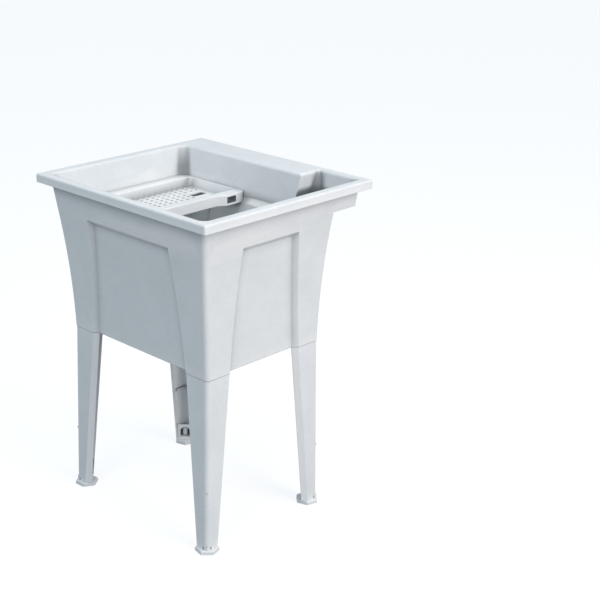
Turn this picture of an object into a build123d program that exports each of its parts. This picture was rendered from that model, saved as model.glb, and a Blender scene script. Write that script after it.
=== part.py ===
from build123d import *
import os
from math import radians, sqrt, tan

os.makedirs("parts", exist_ok=True)

# A free-standing moulded laundry sink.  Millimetres, X to the right, Y to the back,
# Z up, with the origin on the floor under the middle of the rim.

# ---- overall sizes
rim_width = 610
rim_depth = 560
tub_height = 402  # seam over the legs up to the rim
leg_length = 450
pad_height = 10
seat_gap = 0.3  # left between a foot pad and its leg when it is screwed right in

# ---- moulded tub
wall = 4
rim_skirt = 21  # height of the turned-down rim
rim_edge_radius = 5
rim_corner_radius = 5
rim_lip_radius = 7  # rounding from the rim down into the basin
side_overhang = 27  # rim edge to the side wall, just under the rim
front_overhang = 23
deck_overhang = 89.5  # rim edge to the basin's back wall, just under the rim
wing_overhang = 19  # rim edge to the outside of the deck's back apron
wing_lean = 0.03
wall_lean = 0.125  # how far a wall comes in for each millimetre down, above the panels
side_seam_inset = 55
front_seam_inset = 59
back_seam_inset = 115.5
flare_bow = 4.1  # how far a wall's curve stands inside its chord, below the panels' top
column_radius = 12
panel_drop = 92  # rim down to the top edge of the recessed panels
panel_recess = 12  # also the run of its 45 degree edges
column_flat_top = 122
column_flat_seam = 74
column_flat_bow = -5
basin_corner_top = 15
basin_corner_low = 22
deck_drop = 68  # rim down to the underside of the deck's apron
pocket_left = 150
pocket_left_draft = 9
pocket_corner_top = 4
pocket_corner_low = 22
drain_height = 40  # seam up to the drain
floor_fall = 6  # from the walls to the drain
floor_thickness = 8
floor_cone_margin = 27  # level border round the floor's cone, front and back
floor_corner_radius = 9

# ---- drain
drain_flange_radius = 40
drain_flange_thickness = 3
drain_thread_radius = 24
drain_bore_radius = 20
drain_mouth_radius = 26
drain_mouth_depth = 6
drain_length = 56
drain_land = 2.5  # width of the step that carries the strainer
strainer_depth = 14  # flange down to the top of the strainer
strainer_thickness = 2
strainer_hole_radius = 2.4
strainer_ring_radius = 11
strainer_hole_count = 8
nut_gap = 0.3
thread_gap = 0.5  # floor hole around the drain's thread
gasket_radius = 36
gasket_thickness = 4
friction_ring_thickness = 1.5
locknut_radius = 37
locknut_height = 9
tailpiece_radius = 19.05  # a standard 1 1/2 in tube
tailpiece_wall = 1.5
tailpiece_length = 100
tailpiece_flange_radius = 23
tailpiece_flange_thickness = 2
tailpiece_relief = 9  # length under the flange where the tube is drawn in
tailpiece_relief_depth = 0.25
tail_washer_thickness = 3
slip_nut_radius = 30
slip_nut_height = 20
slip_nut_lip = 4
slip_nut_rib_count = 12
slip_nut_rib_radius = 2
stopper_gap = 0.3
stopper_plug_depth = 3
stopper_crown = 3
stopper_neck_radius = 4
stopper_neck_height = 8
stopper_knob_radius = 7

# ---- drain tray
tray_gap = 1  # to the tub's walls
tray_seat_gap = 0.3  # to the sloping ledge that carries it
tray_rise = 16  # its top edge above the panels' top edge
tray_depth = 24
tray_wall = 3
tray_width = 221
tray_shelf = 36  # flat shelf along the tub's left wall
tray_lip = 19
tray_back_wall = 6  # at the top; the pan's back slopes in like the ledge behind it
tray_back_slope = 9
tray_front_shelf = 22
tray_pan_radius = 9
tray_draft = 1.3  # how far the pan's other walls come in by its floor
tray_corner_radius = 28
tray_edge_radius = 2.5
tray_ear_setback = 94.6  # from the tray's back to where the right edge begins to sweep out
tray_ear_reach = 15
tray_ear_length = 30  # along the sweep
tray_ear_nose_radius = 14
tray_grip_setback = 30.6  # from the tray's back to the finger slot in the ear's face
tray_grip_length = 38
tray_grip_height = 17
tray_grip_drop = 5  # tray's top down to the slot
tray_hole_radius = 4.8
tray_hole_rows = 9
tray_hole_columns = 19
tray_field_left = 8  # from the pan's floor to the holes' centres, on each side
tray_field_right = 22
tray_field_front = 23
tray_field_back = 12.6
tray_window_inset = 76  # from the pan's left to a larger opening among the holes
tray_window_setback = 52.6  # from the tray's back
tray_window_width = 24
tray_window_length = 46
tray_window_radius = 2

# ---- legs
leg_wall = 4
leg_flat_top = column_flat_seam
leg_flat_bottom = 36
leg_splay = 8
leg_inset = 1.2  # its top, from the tub's faces above
leg_lip = panel_recess
tongue_gap = 0.3
tongue_thickness = 3.5
tongue_height = 24
tongue_root = 16
tongue_start = 16  # distance from the leg's corner
tongue_end = 66
rib_height = 165
rib_thickness = 3
rib_reach = 9
foot_plate = 10
foot_web_thickness = 3.5
foot_web_height = 38
arch_width = 27
arch_height = 31
boss_radius = 7.85
boss_height = 26
notch_start = 11.5
notch_width = 3.5
notch_height = 8

# ---- levelling feet
stud_radius = 5
stud_running_gap = 0.05
stud_length = 40
stud_chamfer = 1
stud_inset = 19  # stud axis from the leg's outer faces, at its foot
pad_corner_radius = 31
pad_top_radius = 29.5
pad_chamfer = 2
pad_socket_floor = 3.7
pad_turns = {"front_right": -43, "back_right": -13, "front_left": -26, "back_left": -13}

# ---- levels
leg_bottom = pad_height + seat_gap
seam = pad_height + leg_length
rim_top = seam + tub_height
rim_bottom = rim_top - rim_skirt
panel_top = rim_top - panel_drop
panel_low = panel_top - panel_recess
wing_bottom = rim_top - deck_drop
pocket_floor = wing_bottom + wall
drain_level = seam + drain_height
basin_floor = drain_level + floor_fall
floor_underside = drain_level - floor_thickness
flange_seat = drain_level - drain_flange_thickness


# ---- shape of the flared walls
def inset_at(z, overhang, seam_inset):
    """Distance from the rim's edge in to a wall: straight above the panels, bowed below."""
    if z >= panel_top:
        return overhang + wall_lean * (rim_bottom - z)
    start = overhang + wall_lean * (rim_bottom - panel_top)
    t = (panel_top - z) / (panel_top - seam)
    return start + (seam_inset - start) * t + 4 * flare_bow * t * (1 - t)


def side_at(z):
    return rim_width / 2 - inset_at(z, side_overhang, side_seam_inset)


def front_at(z):
    return -rim_depth / 2 + inset_at(z, front_overhang, front_seam_inset)


def back_at(z):
    return rim_depth / 2 - inset_at(z, deck_overhang, back_seam_inset)


def wing_at(z):
    return rim_depth / 2 - wing_overhang - wing_lean * (rim_bottom - z)


def column_flat_at(z):
    t = (panel_top - z) / (panel_top - seam)
    bow = 4 * column_flat_bow * t * (1 - t)
    return column_flat_top + (column_flat_seam - column_flat_top) * t + bow


def pocket_left_at(z):
    return pocket_left - pocket_left_draft * (rim_top - z) / (rim_top - pocket_floor)


def basin_corner_at(z):
    t = min(1, (rim_top - z) / panel_drop)
    return basin_corner_top + (basin_corner_low - basin_corner_top) * t


def panel_section(z, skin, depth, radius):
    """Section of the body with its four recessed panels, skin inside the outer face."""
    side = side_at(z) - skin
    front = front_at(z) + skin
    back = back_at(z) - skin
    shift = skin * tan(radians(22.5))
    x = side_at(z) - column_flat_at(z) + shift
    y_front = front_at(z) + column_flat_at(z) - shift
    y_back = back_at(z) - column_flat_at(z) + shift
    d = depth
    corners = [(-side, front), (side, front), (side, back), (-side, back)]
    with BuildSketch(Plane.XY.offset(z)) as section:
        with BuildLine():
            Polyline(
                corners[0], (-x, front), (-x + d, front + d), (x - d, front + d), (x, front),
                corners[1], (side, y_front), (side - d, y_front + d),
                (side - d, y_back - d), (side, y_back),
                corners[2], (x, back), (x - d, back - d), (-x + d, back - d), (-x, back),
                corners[3], (-side, y_back), (-side + d, y_back - d),
                (-side + d, y_front + d), (-side, y_front),
                close=True,
            )
        make_face()
        columns = [section.vertices().sort_by_distance((cx, cy, z))[0] for cx, cy in corners]
        fillet(columns, radius)
    return section.sketch


def box_section(z, left, right, front, back, radius):
    with BuildSketch(Plane.XY.offset(z)) as section:
        with Locations(((left + right) / 2, (front + back) / 2)):
            RectangleRounded(right - left, back - front, radius)
    return section.sketch


def body_section(z, skin, radius):
    """Section above the panels, where the walls are plain."""
    side = side_at(z) - skin
    return box_section(z, -side, side, front_at(z) + skin, back_at(z) - skin, radius)


def wing_section(z):
    """Section of the apron that stands under the deck."""
    return box_section(
        z, -side_at(z), side_at(z), back_at(z) - 2 * column_radius, wing_at(z), column_radius / 2
    )


def deck_hollow_section(z):
    """Hollow under the deck, open from below."""
    return box_section(
        z, -side_at(z) + wall, pocket_left_at(z) - wall, back_at(z), wing_at(z) - wall, wall / 2
    )


def pocket_section(z):
    """The pocket beside the deck, reaching forward into the basin."""
    t = (rim_top - z) / (rim_top - pocket_floor)
    radius = pocket_corner_top + (pocket_corner_low - pocket_corner_top) * t
    front = back_at(z) - wall - 2 * pocket_corner_low
    return box_section(z, pocket_left_at(z), side_at(z) - wall, front, wing_at(z) - wall, radius)


# ---- moulded tub
panel_levels = [seam + (panel_low - seam) * i / 4 for i in range(5)]
basin_levels = [basin_floor + (panel_low - basin_floor) * i / 4 for i in range(5)]
drain_y = (front_at(seam) + back_at(seam)) / 2
floor_reach = back_at(basin_floor) - wall - panel_recess - drain_y
floor_cone_radius = floor_reach - floor_cone_margin
recess_step = 0.001  # keeps the recess's corners apart where its top edge runs out

with BuildPart() as tub:
    # turned-down rim
    with BuildSketch(Plane.XY.offset(rim_bottom)):
        RectangleRounded(rim_width, rim_depth, rim_corner_radius)
    extrude(amount=rim_skirt)
    fillet(tub.faces().sort_by(Axis.Z)[-1].edges(), rim_edge_radius)
    with BuildSketch(Plane.XY.offset(rim_bottom)):
        RectangleRounded(rim_width - 2 * wall, rim_depth - 2 * wall, rim_corner_radius - wall / 2)
    extrude(amount=rim_skirt - wall, mode=Mode.SUBTRACT)
    # walls, with their recessed panels and corner columns
    loft([panel_section(z, 0, panel_recess, column_radius) for z in panel_levels])
    loft(
        [
            panel_section(panel_low, 0, panel_recess, column_radius),
            panel_section(panel_top, 0, recess_step, column_radius),
        ],
        ruled=True,
    )
    loft([body_section(z, 0, column_radius) for z in (panel_top, rim_top - wall)], ruled=True)
    loft([wing_section(z) for z in (wing_bottom, rim_top - wall)], ruled=True)
    # basin
    loft(
        [panel_section(z, wall, panel_recess, basin_corner_at(z)) for z in basin_levels],
        mode=Mode.SUBTRACT,
    )
    loft(
        [
            panel_section(panel_low, wall, panel_recess, basin_corner_at(panel_low)),
            panel_section(panel_top, wall, recess_step, basin_corner_at(panel_top)),
        ],
        ruled=True,
        mode=Mode.SUBTRACT,
    )
    loft(
        [body_section(z, wall, basin_corner_at(z)) for z in (panel_top, rim_top)],
        ruled=True,
        mode=Mode.SUBTRACT,
    )
    # pocket, and the hollow under the deck
    loft([pocket_section(z) for z in (pocket_floor, rim_top)], ruled=True, mode=Mode.SUBTRACT)
    loft(
        [deck_hollow_section(z) for z in (wing_bottom, rim_top - wall)],
        ruled=True,
        mode=Mode.SUBTRACT,
    )
    # skirt under the basin's floor, open below
    loft(
        [panel_section(z, wall, panel_recess, column_radius - wall) for z in (seam, floor_underside)],
        ruled=True,
        mode=Mode.SUBTRACT,
    )
    # floor falling to the drain, the flange's seat and the drain hole
    with BuildSketch(Plane.XY.offset(basin_floor)):
        with Locations((0, drain_y)):
            Circle(floor_cone_radius)
    with BuildSketch(Plane.XY.offset(drain_level)):
        with Locations((0, drain_y)):
            Circle(drain_flange_radius)
    loft(mode=Mode.SUBTRACT)
    with BuildSketch(Plane.XY.offset(drain_level)):
        with Locations((0, drain_y)):
            Circle(drain_flange_radius + nut_gap)
    extrude(amount=-drain_flange_thickness, mode=Mode.SUBTRACT)
    with BuildSketch(Plane.XY.offset(drain_level)):
        with Locations((0, drain_y)):
            Circle(drain_thread_radius + thread_gap)
    extrude(amount=-2 * floor_thickness, mode=Mode.SUBTRACT)
    # rounded edges: round the basin's mouth, and where its floor meets its walls
    fillet(tub.faces().sort_by(Axis.Z)[-1].inner_wires()[0].edges(), rim_lip_radius)
    floor_faces = tub.faces().filter_by(Plane.XY).filter_by_position(
        Axis.Z, basin_floor - 1, basin_floor + 1
    )
    fillet(floor_faces.sort_by(SortBy.AREA)[-1].outer_wire().edges(), floor_corner_radius)
tub.part.label = "tub"
export_step(tub.part, "parts/tub.step")


# ---- drain tray
tray_top = panel_top + tray_rise
tray_floor = tray_top - tray_depth
tray_under = tray_floor - tray_wall
tray_ledge = tray_under + panel_recess
tray_levels = [
    (tray_under, panel_recess + tray_seat_gap),
    (tray_ledge, tray_gap),
    (tray_top, tray_gap),
]
tray_left = -side_at(tray_top) + wall + tray_gap
tray_front = front_at(tray_top) + wall + tray_gap
tray_back = back_at(tray_top) - wall - tray_gap
tray_right = tray_left + tray_width
tray_ear = tray_right + tray_ear_reach
tray_ear_start = tray_back - tray_ear_setback
tray_grip_back = tray_back - tray_grip_setback
tray_grip_front = tray_grip_back - tray_grip_length
pan_left = tray_left + tray_shelf
pan_right = tray_right - tray_lip
pan_front = tray_front + tray_front_shelf
pan_back = tray_back - tray_back_wall
pan_floor_back = pan_back - tray_back_slope


def tray_section(z, gap):
    """Outside of the tray, run on to the right past its own edge."""
    inset = wall + gap
    return box_section(
        z,
        -side_at(z) + inset,
        rim_width / 4,
        front_at(z) + inset,
        back_at(z) - inset,
        tray_corner_radius,
    )


with BuildPart() as drain_tray:
    loft([tray_section(z, gap) for z, gap in tray_levels], ruled=True)
    # right edge, swept out to an ear where it reaches the back wall
    with BuildSketch(Plane.XY.offset(tray_under)) as edge:
        with BuildLine():
            start = (tray_right, tray_ear_start)
            nose = (tray_ear, tray_ear_start + tray_ear_length)
            tip = (tray_ear, tray_back - tray_ear_nose_radius)
            far = (rim_width / 4 + wall, rim_depth / 2)
            near = (rim_width / 4 + wall, -rim_depth / 2)
            Line((tray_right, -rim_depth / 2), start)
            Spline(start, nose, tangents=((0, 1), (0, 1)), tangent_scalars=(0.8, 0.5))
            Line(nose, tip)
            RadiusArc(tip, (tray_ear - tray_ear_nose_radius, tray_back), -tray_ear_nose_radius)
            Line((tray_ear - tray_ear_nose_radius, tray_back),
                 (tray_ear - tray_ear_nose_radius, rim_depth / 2))
            Line((tray_ear - tray_ear_nose_radius, rim_depth / 2), far)
            Line(far, near)
            Line(near, (tray_right, -rim_depth / 2))
        make_face()
    extrude(amount=tray_depth + 2 * tray_wall, mode=Mode.SUBTRACT)
    # pan
    loft(
        [
            box_section(tray_top, pan_left, pan_right, pan_front, pan_back, tray_pan_radius),
            box_section(
                tray_floor,
                pan_left + tray_draft,
                pan_right - tray_draft,
                pan_front + tray_draft,
                pan_floor_back,
                tray_pan_radius,
            ),
        ],
        ruled=True,
        mode=Mode.SUBTRACT,
    )
    fillet(drain_tray.faces().sort_by(Axis.Z)[-1].inner_wires()[0].edges(), tray_edge_radius)
    rim_edges = drain_tray.faces().sort_by(Axis.Z)[-1].outer_wire().edges()
    fillet(rim_edges.filter_by(lambda e: e.center().X > tray_right - 1), tray_edge_radius)
    # hollows under the left shelf, the right lip and the ear
    shelf_left = tray_left + panel_recess + tray_wall
    shelf_right = pan_left - tray_wall
    lip_left = pan_right + tray_wall
    lip_right = tray_right - tray_wall
    hollow_front = pan_front + tray_wall
    hollow_back = pan_floor_back - tray_wall
    with BuildSketch(Plane.XY.offset(tray_under)):
        for left, right, front, back in (
            (shelf_left, shelf_right, hollow_front, hollow_back),
            (lip_left, lip_right, hollow_front, tray_ear_start),
            (lip_left, tray_ear - tray_wall, tray_grip_front, tray_grip_back),
        ):
            with Locations(((left + right) / 2, (front + back) / 2)):
                RectangleRounded(right - left, back - front, tray_wall)
    extrude(amount=tray_depth, mode=Mode.SUBTRACT)
    # finger slot in the ear's face
    grip_middle = (tray_grip_front + tray_grip_back) / 2
    slot_origin = (tray_ear, grip_middle, tray_top - tray_grip_drop - tray_grip_height / 2)
    with BuildSketch(Plane(origin=slot_origin, x_dir=(0, 1, 0), z_dir=(1, 0, 0))):
        RectangleRounded(tray_grip_back - tray_grip_front - 2 * tray_wall, tray_grip_height, tray_wall)
    extrude(amount=-2 * tray_wall, mode=Mode.SUBTRACT)
    # drain holes in a square grid, round one larger window
    first_x = pan_left + tray_field_left
    first_y = pan_front + tray_field_front
    pitch_x = (pan_right - tray_field_right - first_x) / (tray_hole_rows - 1)
    pitch_y = (pan_floor_back - tray_field_back - first_y) / (tray_hole_columns - 1)
    spots = [
        (first_x + pitch_x * i, first_y + pitch_y * j)
        for i in range(tray_hole_rows)
        for j in range(tray_hole_columns)
    ]
    window_x = pan_left + tray_window_inset
    window_y = tray_back - tray_window_setback
    clear_x = tray_window_width / 2 + tray_hole_radius + 1
    clear_y = tray_window_length / 2 + tray_hole_radius + 1
    spots = [
        (x, y) for x, y in spots
        if abs(x - window_x) > clear_x or abs(y - window_y) > clear_y
    ]
    with BuildSketch(Plane.XY.offset(tray_under)):
        with Locations(*spots):
            Circle(tray_hole_radius)
        with Locations((window_x, window_y)):
            RectangleRounded(tray_window_width, tray_window_length, tray_window_radius)
    extrude(amount=2 * tray_wall, mode=Mode.SUBTRACT)
drain_tray.part.label = "drain_tray"
export_step(drain_tray.part, "parts/drain_tray.step")


# ---- legs: one moulding, turned a quarter for each corner
leg_corners = {
    "front_left": (-1, -1, (1, 0, 0)),
    "front_right": (1, -1, (0, 1, 0)),
    "back_right": (1, 1, (-1, 0, 0)),
    "back_left": (-1, 1, (0, -1, 0)),
}
foot_corner = -leg_splay  # of the leg's outer faces at its foot, seen from its top corner
foot_flat = foot_corner + leg_flat_bottom
stud_axis = foot_corner + stud_inset


def leg_section(plane, z, corner, flat):
    """Angle section with a lip turned in at 45 degrees along each free edge."""
    shift = leg_wall * tan(radians(22.5))
    slant = leg_wall / sqrt(2)
    end = corner + flat
    inner = corner + leg_wall
    with BuildSketch(plane.offset(z)) as section:
        with BuildLine():
            Polyline(
                (corner, corner), (end, corner),
                (end + leg_lip, corner + leg_lip),
                (end + leg_lip - slant, corner + leg_lip + slant),
                (end - shift, inner), (inner, inner), (inner, end - shift),
                (corner + leg_lip + slant, end + leg_lip - slant),
                (corner + leg_lip, end + leg_lip),
                (corner, end),
                close=True,
            )
        make_face()
        fillet(section.vertices().sort_by_distance((corner, corner, 0))[0], column_radius)
        fillet(section.vertices().sort_by_distance((inner, inner, 0))[0], column_radius - leg_wall)
    return section.sketch


def corner_strip(start, end, depth, thickness):
    """Outline of a strip that follows both faces of a leg at a given depth."""
    return [
        (depth, depth), (end, depth), (end, depth + thickness),
        (depth + thickness, depth + thickness), (depth + thickness, end), (depth, end),
    ]


for name, (side_x, side_y, x_direction) in leg_corners.items():
    y_edge = front_at(seam) if side_y < 0 else back_at(seam)
    plane = Plane(origin=(side_x * side_at(seam), y_edge, 0), x_dir=x_direction, z_dir=(0, 0, 1))
    with BuildPart() as leg:
        loft(
            [
                leg_section(plane, leg_bottom, foot_corner, leg_flat_bottom),
                leg_section(plane, seam, leg_inset, leg_flat_top - leg_inset),
            ],
            ruled=True,
        )
        # tongues that stand up inside the tub's corner column
        tongue_middle = (tongue_start + tongue_end) / 2
        for z, near, far, height in (
            (seam - tongue_root, leg_wall, leg_wall + tongue_gap + tongue_thickness, tongue_root),
            (seam, leg_wall + tongue_gap, leg_wall + tongue_gap + tongue_thickness, tongue_height),
        ):
            with BuildSketch(plane.offset(z)):
                with Locations((tongue_middle, (near + far) / 2)):
                    Rectangle(tongue_end - tongue_start, far - near)
                with Locations(((near + far) / 2, tongue_middle)):
                    Rectangle(far - near, tongue_end - tongue_start)
            extrude(amount=height)
        # stiffening rib across the corner
        with BuildSketch(plane.offset(rib_height)):
            rib_depth = foot_corner * (seam - rib_height) / (seam - leg_bottom) + leg_wall / 2
            with BuildLine():
                Polyline(*corner_strip(0, leg_flat_bottom, rib_depth, rib_reach), close=True)
            make_face()
        extrude(amount=rib_thickness)
        # foot plate, closed across its open side
        lip_end = foot_flat + leg_lip
        lip_side = foot_corner + leg_lip
        with BuildSketch(plane.offset(leg_bottom)):
            near = foot_corner + leg_wall / 2
            with BuildLine():
                Polyline((near, near), (foot_flat, near), (lip_end - 1, lip_side),
                         (lip_side, lip_end - 1), (near, foot_flat), close=True)
            make_face()
        extrude(amount=foot_plate)
        # arched web over the plate's open side
        middle = (lip_end + lip_side) / 2
        face_origin = plane.from_local_coords((middle, middle, leg_bottom + foot_plate))
        across = plane.from_local_coords((middle - 1, middle + 1, leg_bottom + foot_plate)) - face_origin
        outward = plane.from_local_coords((middle + 1, middle + 1, leg_bottom + foot_plate)) - face_origin
        web_plane = Plane(origin=face_origin, x_dir=across, z_dir=outward)
        web_width = (lip_end - lip_side) * sqrt(2)
        with BuildSketch(web_plane.offset(-foot_web_thickness)):
            with Locations((0, foot_web_height / 2)):
                Rectangle(web_width, foot_web_height)
            with Locations((0, (arch_height - arch_width / 2) / 2)):
                Rectangle(arch_width, arch_height - arch_width / 2, mode=Mode.SUBTRACT)
            with Locations((0, arch_height - arch_width / 2)):
                Circle(arch_width / 2, mode=Mode.SUBTRACT)
        extrude(amount=foot_web_thickness)
        # boss round the stud
        with BuildSketch(plane.offset(leg_bottom + foot_plate)):
            with Locations((stud_axis, stud_axis)):
                Circle(boss_radius)
        extrude(amount=boss_height)
        with BuildSketch(plane.offset(leg_bottom)):
            with Locations((stud_axis, stud_axis)):
                Circle(stud_radius + stud_running_gap)
        extrude(amount=foot_plate + boss_height, mode=Mode.SUBTRACT)
        # two notches beside the corner, at the foot
        notch = foot_corner + notch_start + notch_width / 2
        with BuildSketch(plane.offset(leg_bottom)):
            with Locations((notch, foot_corner)):
                Rectangle(notch_width, leg_wall)
            with Locations((foot_corner, notch)):
                Rectangle(leg_wall, notch_width)
        extrude(amount=notch_height, mode=Mode.SUBTRACT)
    leg.part.label = "leg_" + name
    export_step(leg.part, "parts/leg_" + name + ".step")

    # levelling stud and its hexagonal pad
    foot_plane = Plane(
        origin=plane.from_local_coords((stud_axis, stud_axis, 0)), x_dir=(1, 0, 0), z_dir=(0, 0, 1)
    )
    with BuildPart() as stud:
        with BuildSketch(foot_plane.offset(pad_socket_floor + seat_gap)):
            Circle(stud_radius)
        extrude(amount=stud_length)
        chamfer(stud.faces().sort_by(Axis.Z)[-1].edges(), stud_chamfer)
    stud.part.label = "stud_" + name
    export_step(stud.part, "parts/stud_" + name + ".step")

    with BuildPart() as pad:
        with BuildSketch(foot_plane):
            RegularPolygon(pad_corner_radius, 6, rotation=pad_turns[name] + 30)
        with BuildSketch(foot_plane.offset(pad_height)):
            RegularPolygon(pad_top_radius, 6, rotation=pad_turns[name] + 30)
        loft(ruled=True)
        chamfer(pad.faces().sort_by(Axis.Z)[-1].edges(), pad_chamfer)
        with BuildSketch(foot_plane.offset(pad_socket_floor)):
            Circle(stud_radius + stud_running_gap)
        extrude(amount=pad_height, mode=Mode.SUBTRACT)
    pad.part.label = "pad_" + name
    export_step(pad.part, "parts/pad_" + name + ".step")


# ---- drain: profiles are turned about its upright axis
drain_axis = Axis((0, drain_y, 0), (0, 0, 1))
drain_plane = Plane(origin=(0, drain_y, 0), x_dir=(1, 0, 0), z_dir=(0, -1, 0))
strainer_top = drain_level - strainer_depth
strainer_seat = strainer_top - strainer_thickness
drain_end = drain_level - drain_length
land_radius = drain_bore_radius - drain_land
washer_bottom = drain_end - tail_washer_thickness
tailpiece_shoulder = washer_bottom - tailpiece_flange_thickness
nut_bottom = tailpiece_shoulder - slip_nut_lip
floor_under = floor_underside
ring_top = floor_under - gasket_thickness
ring_under = ring_top - friction_ring_thickness
locknut_under = ring_under - locknut_height
nut_bore = drain_thread_radius + nut_gap

with BuildPart() as drain_body:
    with BuildSketch(drain_plane):
        with BuildLine():
            Polyline(
                (land_radius, drain_end), (drain_thread_radius, drain_end),
                (drain_thread_radius, flange_seat), (drain_flange_radius, flange_seat),
                (drain_flange_radius, drain_level - 1), (drain_flange_radius - 2, drain_level),
                (drain_mouth_radius, drain_level),
                (drain_bore_radius, drain_level - drain_mouth_depth),
                (drain_bore_radius, strainer_seat), (land_radius, strainer_seat),
                close=True,
            )
        make_face()
    revolve(axis=drain_axis)
drain_body.part.label = "drain_body"
export_step(drain_body.part, "parts/drain_body.step")

with BuildPart() as drain_strainer:
    with BuildSketch(Plane.XY.offset(strainer_seat)):
        with Locations((0, drain_y)):
            Circle(drain_bore_radius - nut_gap)
            Circle(strainer_hole_radius, mode=Mode.SUBTRACT)
            with PolarLocations(strainer_ring_radius, strainer_hole_count):
                Circle(strainer_hole_radius, mode=Mode.SUBTRACT)
    extrude(amount=strainer_thickness)
drain_strainer.part.label = "drain_strainer"
export_step(drain_strainer.part, "parts/drain_strainer.step")

for name, under, height in (
    ("drain_gasket", ring_top, gasket_thickness),
    ("drain_friction_ring", ring_under, friction_ring_thickness),
):
    with BuildPart() as ring:
        with BuildSketch(Plane.XY.offset(under)):
            with Locations((0, drain_y)):
                Circle(gasket_radius)
                Circle(nut_bore, mode=Mode.SUBTRACT)
        extrude(amount=height)
    ring.part.label = name
    export_step(ring.part, "parts/" + name + ".step")

with BuildPart() as drain_locknut:
    with BuildSketch(Plane.XY.offset(locknut_under)):
        with Locations((0, drain_y)):
            RegularPolygon(locknut_radius, 6)
            Circle(nut_bore, mode=Mode.SUBTRACT)
    extrude(amount=locknut_height)
drain_locknut.part.label = "drain_locknut"
export_step(drain_locknut.part, "parts/drain_locknut.step")

with BuildPart() as tailpiece_washer:
    with BuildSketch(Plane.XY.offset(washer_bottom)):
        with Locations((0, drain_y)):
            Circle(tailpiece_flange_radius)
            Circle(land_radius, mode=Mode.SUBTRACT)
    extrude(amount=tail_washer_thickness)
tailpiece_washer.part.label = "tailpiece_washer"
export_step(tailpiece_washer.part, "parts/tailpiece_washer.step")

with BuildPart() as tailpiece:
    tube_bore = tailpiece_radius - tailpiece_wall
    tube_end = washer_bottom - tailpiece_length
    relief_end = tailpiece_shoulder - tailpiece_relief
    relief_radius = tailpiece_radius - tailpiece_relief_depth
    with BuildSketch(drain_plane):
        with BuildLine():
            Polyline(
                (tube_bore, tube_end), (tailpiece_radius, tube_end),
                (tailpiece_radius, relief_end), (relief_radius, relief_end),
                (relief_radius, tailpiece_shoulder), (tailpiece_flange_radius, tailpiece_shoulder),
                (tailpiece_flange_radius, washer_bottom), (tube_bore, washer_bottom),
                close=True,
            )
        make_face()
    revolve(axis=drain_axis)
tailpiece.part.label = "tailpiece"
export_step(tailpiece.part, "parts/tailpiece.step")

with BuildPart() as slip_nut:
    with BuildSketch(Plane.XY.offset(nut_bottom)):
        with Locations((0, drain_y)):
            Circle(slip_nut_radius)
            with PolarLocations(slip_nut_radius, slip_nut_rib_count):
                Circle(slip_nut_rib_radius)
    extrude(amount=slip_nut_height)
    with BuildSketch(Plane.XY.offset(tailpiece_shoulder)):
        with Locations((0, drain_y)):
            Circle(nut_bore)
    extrude(amount=slip_nut_height, mode=Mode.SUBTRACT)
    with BuildSketch(Plane.XY.offset(nut_bottom)):
        with Locations((0, drain_y)):
            Circle(tailpiece_radius + nut_gap)
    extrude(amount=slip_nut_height, mode=Mode.SUBTRACT)
slip_nut.part.label = "slip_nut"
export_step(slip_nut.part, "parts/slip_nut.step")

with BuildPart() as stopper:
    plug_radius = drain_bore_radius - stopper_gap
    cone_under = drain_level - drain_mouth_depth
    plug_under = cone_under - stopper_plug_depth
    cone_radius = drain_mouth_radius - stopper_gap
    knob_centre = drain_level + stopper_crown + stopper_neck_height + stopper_knob_radius
    with BuildSketch(drain_plane):
        with BuildLine():
            Polyline(
                (0, plug_under), (plug_radius, plug_under), (plug_radius, cone_under),
                (cone_radius, drain_level), (cone_radius, drain_level + 1),
                (stopper_neck_radius, drain_level + stopper_crown),
                (stopper_neck_radius, knob_centre), (0, knob_centre),
                close=True,
            )
        make_face()
    revolve(axis=drain_axis)
    with Locations((0, drain_y, knob_centre)):
        Sphere(stopper_knob_radius)
stopper.part.label = "stopper"
export_step(stopper.part, "parts/stopper.step")
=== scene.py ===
from math import cos, pi, radians, sin

import bpy
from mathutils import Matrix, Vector


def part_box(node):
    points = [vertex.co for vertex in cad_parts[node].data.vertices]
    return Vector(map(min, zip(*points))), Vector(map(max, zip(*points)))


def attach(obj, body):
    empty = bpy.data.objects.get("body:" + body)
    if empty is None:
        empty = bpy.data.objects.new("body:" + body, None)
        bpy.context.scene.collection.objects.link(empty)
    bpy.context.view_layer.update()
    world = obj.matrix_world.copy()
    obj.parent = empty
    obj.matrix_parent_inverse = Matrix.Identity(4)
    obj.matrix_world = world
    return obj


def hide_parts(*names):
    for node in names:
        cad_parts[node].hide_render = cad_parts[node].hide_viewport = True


# A white moulded laundry sink on four tapered legs, as a studio photograph shows it.
# Metres; +X to the right, +Y to the back deck, +Z up, the floor at z = 0.
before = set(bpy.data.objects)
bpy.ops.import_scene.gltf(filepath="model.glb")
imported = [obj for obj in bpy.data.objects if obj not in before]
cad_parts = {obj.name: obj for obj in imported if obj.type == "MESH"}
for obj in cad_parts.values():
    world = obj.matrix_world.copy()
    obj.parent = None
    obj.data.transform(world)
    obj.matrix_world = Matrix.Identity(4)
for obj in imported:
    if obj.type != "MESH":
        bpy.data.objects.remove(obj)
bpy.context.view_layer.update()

CORNERS = ("front_left", "front_right", "back_left", "back_right")
MM = 0.001

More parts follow.
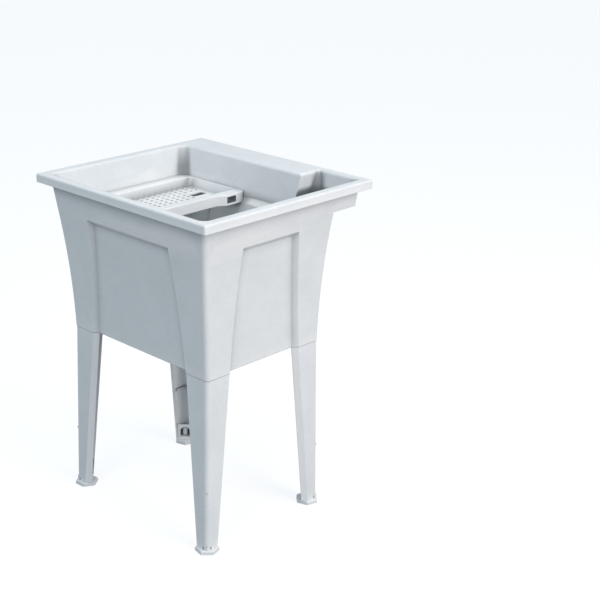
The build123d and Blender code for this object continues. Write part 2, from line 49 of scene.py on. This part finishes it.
# the tub's box, and the few sizes of its moulding that tell a wall's inside from its outside
TUB_LOW, TUB_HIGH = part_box("tub")
SEAM = TUB_LOW[2]  # where the tub sits on its legs
RIM_TOP = TUB_HIGH[2]
RIM_UNDERSIDE = RIM_TOP - 21 * MM
PANEL_TOP = RIM_TOP - 92 * MM  # upper edge of the recessed panels
WALL = 4 * MM
WALL_LEAN = 0.125  # how far a wall comes in for each metre down
SIDE_OVERHANG = 27 * MM  # rim edge to the side wall, just under the rim
FRONT_OVERHANG = 23 * MM
SIDE_WALL = TUB_HIGH[0] - SIDE_OVERHANG - WALL / 2  # from the centre to the wall's middle
FRONT_WALL = -TUB_LOW[1] - FRONT_OVERHANG - WALL / 2


# ---- colour and node helpers
def srgb(code):
    """A hex sRGB colour as the linear colour that shaders take, by the sRGB standard's curve."""
    channels = [int(code[i:i + 2], 16) / 255 for i in (1, 3, 5)]
    linear = [c / 12.92 if c <= 0.04045 else ((c + 0.055) / 1.055) ** 2.4 for c in channels]
    return (*linear, 1.0)


def add(tree, kind, settings=None, links=None):
    """A new node. Settings are properties or input values, links are input: output socket.
    A number is a socket's place in its list. ShaderNodeMix has its factor at 0, the numbers
    that it mixes at 2 and 3, the colours at 6 and 7, and the mixed colour at output 2."""
    node = tree.nodes.new(kind)
    for key, value in (settings or {}).items():
        if isinstance(key, str) and hasattr(node, key):
            setattr(node, key, value)
        else:
            node.inputs[key].default_value = value
    for key, socket in (links or {}).items():
        tree.links.new(socket, node.inputs[key])
    return node


def new_material(name):
    """A material to fill in, with its node tree and its shader."""
    material = bpy.data.materials.new(name)
    material.use_nodes = True
    return material, material.node_tree, material.node_tree.nodes["Principled BSDF"]


def per_metre(size_mm):
    """Noise scale that gives features of this size."""
    return 1 / (size_mm * MM)


# ---- materials
# Moulded grain, specks, pits and scratches are finer in life than the render can show, so
# they are drawn as coarse as they need to show.
def inside_bowl(tree, place):
    """How far down the basin's or the pocket's own walls a point is, which sets the painted
    shade there: 0 at the rim, 1 from about 50 mm down. It is 0 outside the front and side
    walls, and from the panels' top edge down. The back isn't marked off, so the painted
    shade is a little darker under the deck there."""
    shade_start = RIM_TOP - 4 * MM
    shade_full = shade_start - 50 * MM
    panel_margin = 2 * MM
    at = add(tree, "ShaderNodeSeparateXYZ", None, {0: place})
    aside = add(tree, "ShaderNodeMath", {"operation": "ABSOLUTE"}, {0: at.outputs["X"]})
    # the way out to a side wall, less what the side walls stand wider than the front wall
    to_side = add(tree, "ShaderNodeMath", {"operation": "SUBTRACT", 1: SIDE_WALL - FRONT_WALL},
                  {0: aside.outputs[0]})
    to_front = add(tree, "ShaderNodeMath", {"operation": "MULTIPLY", 1: -1.0},
                   {0: at.outputs["Y"]})
    out = add(tree, "ShaderNodeMath", {"operation": "MAXIMUM"},
              {0: to_side.outputs[0], 1: to_front.outputs[0]})
    # the middle of the front wall at this height
    limit = add(tree, "ShaderNodeMath",
                {"operation": "MULTIPLY_ADD", 1: WALL_LEAN,
                 2: FRONT_WALL - WALL_LEAN * RIM_UNDERSIDE},
                {0: at.outputs["Z"]})
    within = add(tree, "ShaderNodeMath", {"operation": "LESS_THAN"},
                 {0: out.outputs[0], 1: limit.outputs[0]})
    above = add(tree, "ShaderNodeMath",
                {"operation": "GREATER_THAN", 1: PANEL_TOP + panel_margin},
                {0: at.outputs["Z"]})
    both = add(tree, "ShaderNodeMath", {"operation": "MULTIPLY"},
               {0: within.outputs[0], 1: above.outputs[0]})
    down = add(tree, "ShaderNodeMapRange", {"From Min": shade_start, "From Max": shade_full},
               {"Value": at.outputs["Z"]})
    depth = add(tree, "ShaderNodeMath", {"operation": "MULTIPLY"},
                {0: both.outputs[0], 1: down.outputs[0]})
    return depth.outputs[0]


def joint_line(tree, place):
    """1 on the line where the tub sits on its legs, 0 elsewhere."""
    half_width = 0.9 * MM
    at = add(tree, "ShaderNodeSeparateXYZ", None, {0: place})
    line = add(tree, "ShaderNodeMath", {"operation": "COMPARE", 1: SEAM, 2: half_width},
               {0: at.outputs["Z"]})
    return line.outputs[0]


def moulded_plastic(name, light, dark, roughness, speck_mm, grain_mm, grain_depth_mm, edge_mm,
                    shade_reach_mm, shade_from=0.6, shade_to=0.92, own_walls=True, bowl=False,
                    joint=False, ior=1.49):
    """Injection-moulded white plastic: a satin skin with faint flow clouds in its colour and
    gloss, fine specks, a spark-eroded grain, edges rubbed a little smoother and paler, and
    painted shade: grey mixed into the colour in inside corners and creases, where shade falls."""
    cloud_mm = 85
    streak_mm = 9
    streak_squeeze = 0.16  # of Y, so streaks run long that way, as a cloth goes
    speck_share = 0.45
    cloud_gloss_share = 0.5
    glossier, duller = 0.06, 0.08  # how far the gloss strays from the roughness given
    rubbed_white = "#F7F8F8"
    rubbed_smoother = 0.14
    # the grey that the painted shade in corners goes towards
    painted_shade_grey = "#3B464D"
    corner_rays = 12
    # how dark the painted shade line at the tub and leg joint is
    joint_shade = 0.6
    material, tree, surface = new_material(name)
    place = add(tree, "ShaderNodeTexCoord").outputs["Object"]
    clouds = add(tree, "ShaderNodeTexNoise",
                 {"Scale": per_metre(cloud_mm), "Detail": 4.0, "Roughness": 0.55},
                 {"Vector": place})
    specks = add(tree, "ShaderNodeTexNoise", {"Scale": per_metre(speck_mm), "Detail": 2.0},
                 {"Vector": place})
    # the two patterns in one, a little more of the clouds
    pattern = add(tree, "ShaderNodeMix", {"data_type": "FLOAT", 0: speck_share},
                  {2: clouds.outputs[0], 3: specks.outputs[0]})
    # noise keeps near 0.5, so its middle stretch is spread over both colours
    spread = add(tree, "ShaderNodeMapRange", {"From Min": 0.36, "From Max": 0.64},
                 {"Value": pattern.outputs[0]})
    colour = add(tree, "ShaderNodeMix", {"data_type": "RGBA", 6: srgb(dark), 7: srgb(light)},
                 {0: spread.outputs[0]})
    # rubbed edges
    edges = add(tree, "ShaderNodeNewGeometry").outputs["Pointiness"]
    rubbed = add(tree, "ShaderNodeMapRange", {"From Min": 0.52, "From Max": 0.6, "To Max": 0.5},
                 {"Value": edges})
    paler = add(tree, "ShaderNodeMix", {"data_type": "RGBA", 7: srgb(rubbed_white)},
                {0: rubbed.outputs[0], 6: colour.outputs[2]})
    # painted shade in inside corners, up to the reach given from where the walls meet; 1 is
    # unshaded plastic
    corner = add(tree, "ShaderNodeAmbientOcclusion",
                 {"samples": corner_rays, "only_local": own_walls, "Distance": shade_reach_mm * MM})
    unshaded = add(tree, "ShaderNodeMapRange",
                {"From Min": shade_from, "From Max": shade_to, "To Min": 0.4, "To Max": 1.0},
                {"Value": corner.outputs["AO"]})
    if bowl:  # painted shade: down the bowl's walls, its upright corners are painted much darker
        upright = add(tree, "ShaderNodeAmbientOcclusion",
                      {"samples": corner_rays, "only_local": True, "Distance": shade_reach_mm * MM})
        bowl_shade = add(tree, "ShaderNodeMapRange",
                   {"From Min": 0.87, "From Max": 0.965, "To Min": 0.14, "To Max": 1.0},
                   {"Value": upright.outputs["AO"]})
        unshaded = add(tree, "ShaderNodeMix", {"data_type": "FLOAT"},
                    {0: inside_bowl(tree, place), 2: unshaded.outputs[0], 3: bowl_shade.outputs[0]})
    if joint:  # and a painted shade line where the tub sits on a leg
        unshaded = add(tree, "ShaderNodeMath", {"operation": "MULTIPLY_ADD", 1: -joint_shade},
                    {0: joint_line(tree, place), 2: unshaded.outputs[0]})
    # painted shade: the colour goes towards the grey as the factor above falls
    shaded_colour = add(tree, "ShaderNodeMix", {"data_type": "RGBA", 6: srgb(painted_shade_grey)},
                 {0: unshaded.outputs[0], 7: paler.outputs[2]})
    tree.links.new(shaded_colour.outputs[2], surface.inputs["Base Color"])
    # gloss: clouds and faint wiping streaks
    streaks = add(tree, "ShaderNodeMapping", {"Scale": (1.0, streak_squeeze, 1.0)},
                  {"Vector": place})
    wiped = add(tree, "ShaderNodeTexNoise",
                {"Scale": per_metre(streak_mm), "Detail": 5.0, "Roughness": 0.6},
                {"Vector": streaks.outputs[0]})
    gloss = add(tree, "ShaderNodeMix", {"data_type": "FLOAT", 0: cloud_gloss_share},
                {2: wiped.outputs[0], 3: clouds.outputs[0]})
    rough = add(tree, "ShaderNodeMapRange",
                {"From Min": 0.35, "From Max": 0.65, "To Min": roughness - glossier,
                 "To Max": roughness + duller},
                {"Value": gloss.outputs[0]})
    smoother = add(tree, "ShaderNodeMath", {"operation": "MULTIPLY_ADD", 1: -rubbed_smoother},
                   {0: rubbed.outputs[0], 2: rough.outputs[0]})
    tree.links.new(smoother.outputs[0], surface.inputs["Roughness"])
    # relief: moulded grain over slow waviness, on rounded edges
    rounded = add(tree, "ShaderNodeBevel", {"samples": 6, "Radius": edge_mm * MM})
    waves = add(tree, "ShaderNodeBump", {"Strength": 0.35, "Distance": 0.6 * MM},
                {"Height": clouds.outputs[0], "Normal": rounded.outputs[0]})
    grain = add(tree, "ShaderNodeTexNoise", {"Scale": per_metre(grain_mm), "Detail": 3.0},
                {"Vector": place})
    relief = add(tree, "ShaderNodeBump", {"Strength": 0.5, "Distance": grain_depth_mm * MM},
                 {"Height": grain.outputs[0], "Normal": waves.outputs[0]})
    tree.links.new(relief.outputs[0], surface.inputs["Normal"])
    surface.inputs["IOR"].default_value = ior
    return material


def zinc_plated_steel():
    """Rolled steel stud, zinc plated: dull bluish silver, blotched where the plating dried."""
    blotch_mm = 4
    pit_mm = 0.8
    material, tree, surface = new_material("zinc_plated_steel")
    place = add(tree, "ShaderNodeTexCoord").outputs["Object"]
    blotches = add(tree, "ShaderNodeTexNoise", {"Scale": per_metre(blotch_mm), "Detail": 5.0},
                   {"Vector": place})
    colour = add(tree, "ShaderNodeMix",
                 {"data_type": "RGBA", 6: srgb("#A9AEB1"), 7: srgb("#CDD0D0")},
                 {0: blotches.outputs[0]})
    tree.links.new(colour.outputs[2], surface.inputs["Base Color"])
    rough = add(tree, "ShaderNodeMapRange", {"To Min": 0.28, "To Max": 0.5},
                {"Value": blotches.outputs[0]})
    tree.links.new(rough.outputs[0], surface.inputs["Roughness"])
    pits = add(tree, "ShaderNodeTexNoise", {"Scale": per_metre(pit_mm), "Detail": 2.0},
               {"Vector": place})
    relief = add(tree, "ShaderNodeBump", {"Strength": 0.3, "Distance": 0.04 * MM},
                 {"Height": pits.outputs[0]})
    tree.links.new(relief.outputs[0], surface.inputs["Normal"])
    surface.inputs["Metallic"].default_value = 1.0
    return material


def pressed_stainless():
    """Stainless sheet, pressed and tumbled: fine round scratches, and water marks in its gloss."""
    mark_mm = 7
    scratch_mm = 0.9
    material, tree, surface = new_material("pressed_stainless")
    place = add(tree, "ShaderNodeTexCoord").outputs["Object"]
    marks = add(tree, "ShaderNodeTexNoise", {"Scale": per_metre(mark_mm), "Detail": 4.0},
                {"Vector": place})
    scratches = add(tree, "ShaderNodeTexNoise",
                    {"Scale": per_metre(scratch_mm), "Detail": 4.0, "Distortion": 1.5},
                    {"Vector": place})
    colour = add(tree, "ShaderNodeMix",
                 {"data_type": "RGBA", 6: srgb("#B4B6B8"), 7: srgb("#D2D3D3")},
                 {0: marks.outputs[0]})
    tree.links.new(colour.outputs[2], surface.inputs["Base Color"])
    rough = add(tree, "ShaderNodeMapRange", {"To Min": 0.2, "To Max": 0.42},
                {"Value": marks.outputs[0]})
    tree.links.new(rough.outputs[0], surface.inputs["Roughness"])
    relief = add(tree, "ShaderNodeBump", {"Strength": 0.35, "Distance": 0.03 * MM},
                 {"Height": scratches.outputs[0]})
    tree.links.new(relief.outputs[0], surface.inputs["Normal"])
    surface.inputs["Metallic"].default_value = 1.0
    return material


def moulded_rubber(name, light, dark, roughness):
    """Compression-moulded rubber: dull, with a dusty bloom in patches and a soft grain."""
    bloom_mm = 12
    grain_mm = 1.2
    bloom_spread = 0.1  # how much duller or glossier the bloom makes it
    material, tree, surface = new_material(name)
    place = add(tree, "ShaderNodeTexCoord").outputs["Object"]
    bloom = add(tree, "ShaderNodeTexNoise", {"Scale": per_metre(bloom_mm), "Detail": 5.0},
                {"Vector": place})
    colour = add(tree, "ShaderNodeMix", {"data_type": "RGBA", 6: srgb(dark), 7: srgb(light)},
                 {0: bloom.outputs[0]})
    tree.links.new(colour.outputs[2], surface.inputs["Base Color"])
    rough = add(tree, "ShaderNodeMapRange",
                {"To Min": roughness - bloom_spread, "To Max": roughness + bloom_spread},
                {"Value": bloom.outputs[0]})
    tree.links.new(rough.outputs[0], surface.inputs["Roughness"])
    grain = add(tree, "ShaderNodeTexNoise", {"Scale": per_metre(grain_mm), "Detail": 3.0},
                {"Vector": place})
    relief = add(tree, "ShaderNodeBump", {"Strength": 0.4, "Distance": 0.08 * MM},
                 {"Height": grain.outputs[0]})
    tree.links.new(relief.outputs[0], surface.inputs["Normal"])
    surface.inputs["IOR"].default_value = 1.52
    return material


def wear(material, *nodes):
    """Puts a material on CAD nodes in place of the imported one."""
    for name in nodes:
        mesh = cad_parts[name].data
        mesh.materials.clear()
        mesh.materials.append(material)


# each plastic's last values set its painted shade in corners: how far it reaches in mm and the
# range it darkens over
# structural-foam polypropylene: thick-walled, so its skin shows slow clouds and coarse specks
tub_polypropylene = moulded_plastic(
    "moulded_polypropylene_tub", light="#E9ECEE", dark="#DFE3E5", roughness=0.42,
    speck_mm=5.0, grain_mm=2.2, grain_depth_mm=0.12, edge_mm=1.6,
    shade_reach_mm=30, shade_from=0.72, shade_to=0.96, own_walls=False, bowl=True, joint=True
)
# the tray is a thinner moulding of the same, a little glossier
tray_polypropylene = moulded_plastic(
    "moulded_polypropylene_tray", light="#F2F4F5", dark="#E9ECEE", roughness=0.38,
    speck_mm=3.5, grain_mm=1.6, grain_depth_mm=0.07, edge_mm=1.4,
    shade_reach_mm=40, shade_from=0.5, shade_to=0.92, own_walls=False
)
# the legs match the tub, with a finer grain and a hair darker
leg_polypropylene = moulded_plastic(
    "moulded_polypropylene_leg", light="#E8EBED", dark="#DEE2E4", roughness=0.42,
    speck_mm=4.5, grain_mm=2.0, grain_depth_mm=0.1, edge_mm=1.0, shade_reach_mm=10, joint=True
)
# nylon feet: harder, slightly creamier and scuffed matt
pad_nylon = moulded_plastic(
    "moulded_nylon_pad", light="#E6E9EA", dark="#DADEE0", roughness=0.5,
    speck_mm=3.0, grain_mm=1.2, grain_depth_mm=0.08, edge_mm=0.8, shade_reach_mm=5, ior=1.53
)
# drain fittings: ABS from a polished mould, the glossiest of the plastics
drain_abs = moulded_plastic(
    "moulded_abs_drain", light="#F3F3F1", dark="#E9E9E7", roughness=0.26,
    speck_mm=4.0, grain_mm=1.5, grain_depth_mm=0.03, edge_mm=0.5, shade_reach_mm=5, ior=1.54
)
seal_rubber = moulded_rubber("nitrile_rubber_seal", "#2A2B2C", "#191A1B", 0.7)
stopper_rubber = moulded_rubber("white_rubber_stopper", "#E2E3E1", "#CFD1CF", 0.55)
stud_steel = zinc_plated_steel()

wear(tub_polypropylene, "tub")
wear(tray_polypropylene, "drain_tray")
wear(leg_polypropylene, *["leg_" + corner for corner in CORNERS])
wear(pad_nylon, *["pad_" + corner for corner in CORNERS])
wear(drain_abs, "drain_body", "drain_friction_ring", "drain_locknut", "tailpiece", "slip_nut")
wear(seal_rubber, "drain_gasket", "tailpiece_washer")
wear(stopper_rubber, "stopper")
wear(pressed_stainless(), "drain_strainer")


# ---- threaded studs
def threaded_stud(corner):
    """A stud with its rolled thread, in place of the plain CAD stud of the same size."""
    pitch = 1.5 * MM
    bevel = 1.0 * MM
    crest_clearance = 0.05 * MM  # keeps the thread inside the plain stud's box
    thread_depth = 0.9 * MM
    ridge_sunk = 0.1 * MM  # how deep the ridge's feet stand in the core
    ridge_rises = (0.05, 0.42, 0.58, 0.95)  # parts of a pitch: foot, crest, crest, foot
    around = 20
    low, high = (Vector(p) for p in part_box("stud_" + corner))
    axis_x, axis_y = (low.x + high.x) / 2, (low.y + high.y) / 2
    crest = (high.x - low.x) / 2 - crest_clearance
    root = crest - thread_depth
    points, faces = [], []

    def ring(radius, z):
        start = len(points)
        for k in range(around):
            angle = 2 * pi * k / around
            points.append((axis_x + radius * cos(angle), axis_y + radius * sin(angle), z))
        return start

    # core: a closed round bar with bevelled ends
    rings = [ring(root - bevel, low.z), ring(root, low.z + bevel),
             ring(root, high.z - bevel), ring(root - bevel, high.z)]
    for a, b in zip(rings, rings[1:]):
        for k in range(around):
            n = (k + 1) % around
            faces.append((a + k, a + n, b + n, b + k))
    faces.append(tuple(range(rings[0] + around - 1, rings[0] - 1, -1)))
    faces.append(tuple(range(rings[3], rings[3] + around)))
    # ridge: a wedge profile swept up the helix, run out at both ends
    turns = (high.z - low.z - 2 * bevel - pitch) / pitch
    steps = int(turns * around)
    ridge = []
    for i in range(steps + 1):
        angle = 2 * pi * i / around
        z = low.z + bevel + pitch * i / around
        fade = min(1.0, i / around, (steps - i) / around)
        foot = root - ridge_sunk
        tip = root + (crest - root) * fade
        start = len(points)
        for radius, rise in zip((foot, tip, tip, foot), ridge_rises):
            points.append((axis_x + radius * cos(angle), axis_y + radius * sin(angle),
                           z + pitch * rise))
        ridge.append(start)
    corners = len(ridge_rises)
    for a, b in zip(ridge, ridge[1:]):
        for k in range(corners):
            n = (k + 1) % corners
            faces.append((a + k, b + k, b + n, a + n))
    faces.append(tuple(range(ridge[0], ridge[0] + corners)))
    faces.append(tuple(range(ridge[-1] + corners - 1, ridge[-1] - 1, -1)))
    mesh = bpy.data.meshes.new("threaded_stud_" + corner)
    mesh.from_pydata(points, [], faces)
    mesh.update()
    mesh.materials.append(stud_steel)
    stud = bpy.data.objects.new("threaded_stud_" + corner, mesh)
    bpy.context.scene.collection.objects.link(stud)
    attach(stud, "stud_" + corner)
    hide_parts("stud_" + corner)


for corner in CORNERS:
    threaded_stud(corner)


# ---- studio
def studio_floor():
    """A white seamless floor. It shows as pure white, and darkens where the sink shades it."""
    reach = 14.0
    floor_glow = 0.8  # the lamps' light on the grey brings it the rest of the way to white
    mesh = bpy.data.meshes.new("studio_floor")
    outline = [(-reach, -reach, 0), (reach, -reach, 0), (reach, reach, 0), (-reach, reach, 0)]
    mesh.from_pydata(outline, [], [(0, 1, 2, 3)])
    floor = bpy.data.objects.new("studio_floor", mesh)
    bpy.context.scene.collection.objects.link(floor)
    material, tree, surface = new_material("painted_studio_floor")
    surface.inputs["Roughness"].default_value = 0.9
    surface.inputs["Base Color"].default_value = srgb("#8E9295")
    seen = add(tree, "ShaderNodeLightPath")
    glossy = add(tree, "ShaderNodeMath", {"operation": "MAXIMUM"},
                 {0: seen.outputs["Is Camera Ray"], 1: seen.outputs["Is Glossy Ray"]})
    through = add(tree, "ShaderNodeMath", {"operation": "MAXIMUM"},
                  {0: glossy.outputs[0], 1: seen.outputs["Is Transmission Ray"]})
    lift = add(tree, "ShaderNodeMath", {"operation": "MULTIPLY", 1: floor_glow},
               {0: through.outputs[0]})
    glow = add(tree, "ShaderNodeEmission", {"Color": srgb("#FFFFFF")},
               {"Strength": lift.outputs[0]})
    both = add(tree, "ShaderNodeAddShader", None, {0: surface.outputs[0], 1: glow.outputs[0]})
    tree.links.new(both.outputs[0], tree.nodes["Material Output"].inputs["Surface"])
    mesh.materials.append(material)


def studio_world():
    """Soft cool light from all round, and plain white behind the sink."""
    world = bpy.data.worlds.new("studio_room")
    bpy.context.scene.world = world
    world.use_nodes = True
    tree = world.node_tree
    room = tree.nodes["Background"]
    room.inputs["Color"].default_value = srgb("#D5E6F2")
    room.inputs["Strength"].default_value = 0.58
    white = add(tree, "ShaderNodeBackground", {"Color": srgb("#FFFFFF"), "Strength": 1.0})
    seen = add(tree, "ShaderNodeLightPath")
    chosen = add(tree, "ShaderNodeMixShader", None,
                 {0: seen.outputs["Is Camera Ray"], 1: room.outputs[0], 2: white.outputs[0]})
    tree.links.new(chosen.outputs[0], tree.nodes["World Output"].inputs["Surface"])


def softbox(name, place, aim, size, power, colour):
    """A square softbox turned to a point."""
    lamp = bpy.data.lights.new(name, "AREA")
    lamp.shape = "SQUARE"
    lamp.size = size
    lamp.energy = power
    lamp.color = srgb(colour)[:3]
    box = bpy.data.objects.new(name, lamp)
    box.location = place
    box.rotation_euler = (Vector(aim) - Vector(place)).to_track_quat("-Z", "Y").to_euler()
    bpy.context.scene.collection.objects.link(box)


studio_floor()
studio_world()
# the key lights the right-hand side from above and a lower lamp its panels, one lamp overhead
# lights the rim and the deck, and one high in front lights the front
softbox("key_softbox", place=(3.35, 0.5, 2.6), aim=(0.0, 0.0, 0.5), size=2.2, power=72,
        colour="#FFF4EE")
softbox("low_softbox", place=(3.9, -0.4, 0.75), aim=(0.0, 0.0, 0.5), size=1.4, power=21,
        colour="#FFF4EE")
softbox("top_softbox", place=(0.2, 0.0, 3.6), aim=(0.0, 0.0, 0.8), size=2.4, power=22,
        colour="#FFF8F2")
softbox("front_softbox", place=(0.9, -2.7, 3.4), aim=(0.0, 0.0, 0.6), size=1.3, power=29,
        colour="#FFFFFF")

# ---- camera: the photograph's own viewpoint, off to one side of its frame
tilt_down = 22.74
turned_left = 46.79
view = bpy.data.cameras.new("photograph_camera")
view.sensor_width = 36.0
view.lens = 75.4
view.shift_x = 0.1591
view.shift_y = 0.0844
camera = bpy.data.objects.new("photograph_camera", view)
camera.location = (2.18574, -2.04781, 1.65584)
camera.rotation_euler = (radians(90 - tilt_down), 0.0, radians(turned_left))
bpy.context.scene.collection.objects.link(camera)
bpy.context.scene.camera = camera
bpy.context.scene.view_settings.view_transform = "Standard"
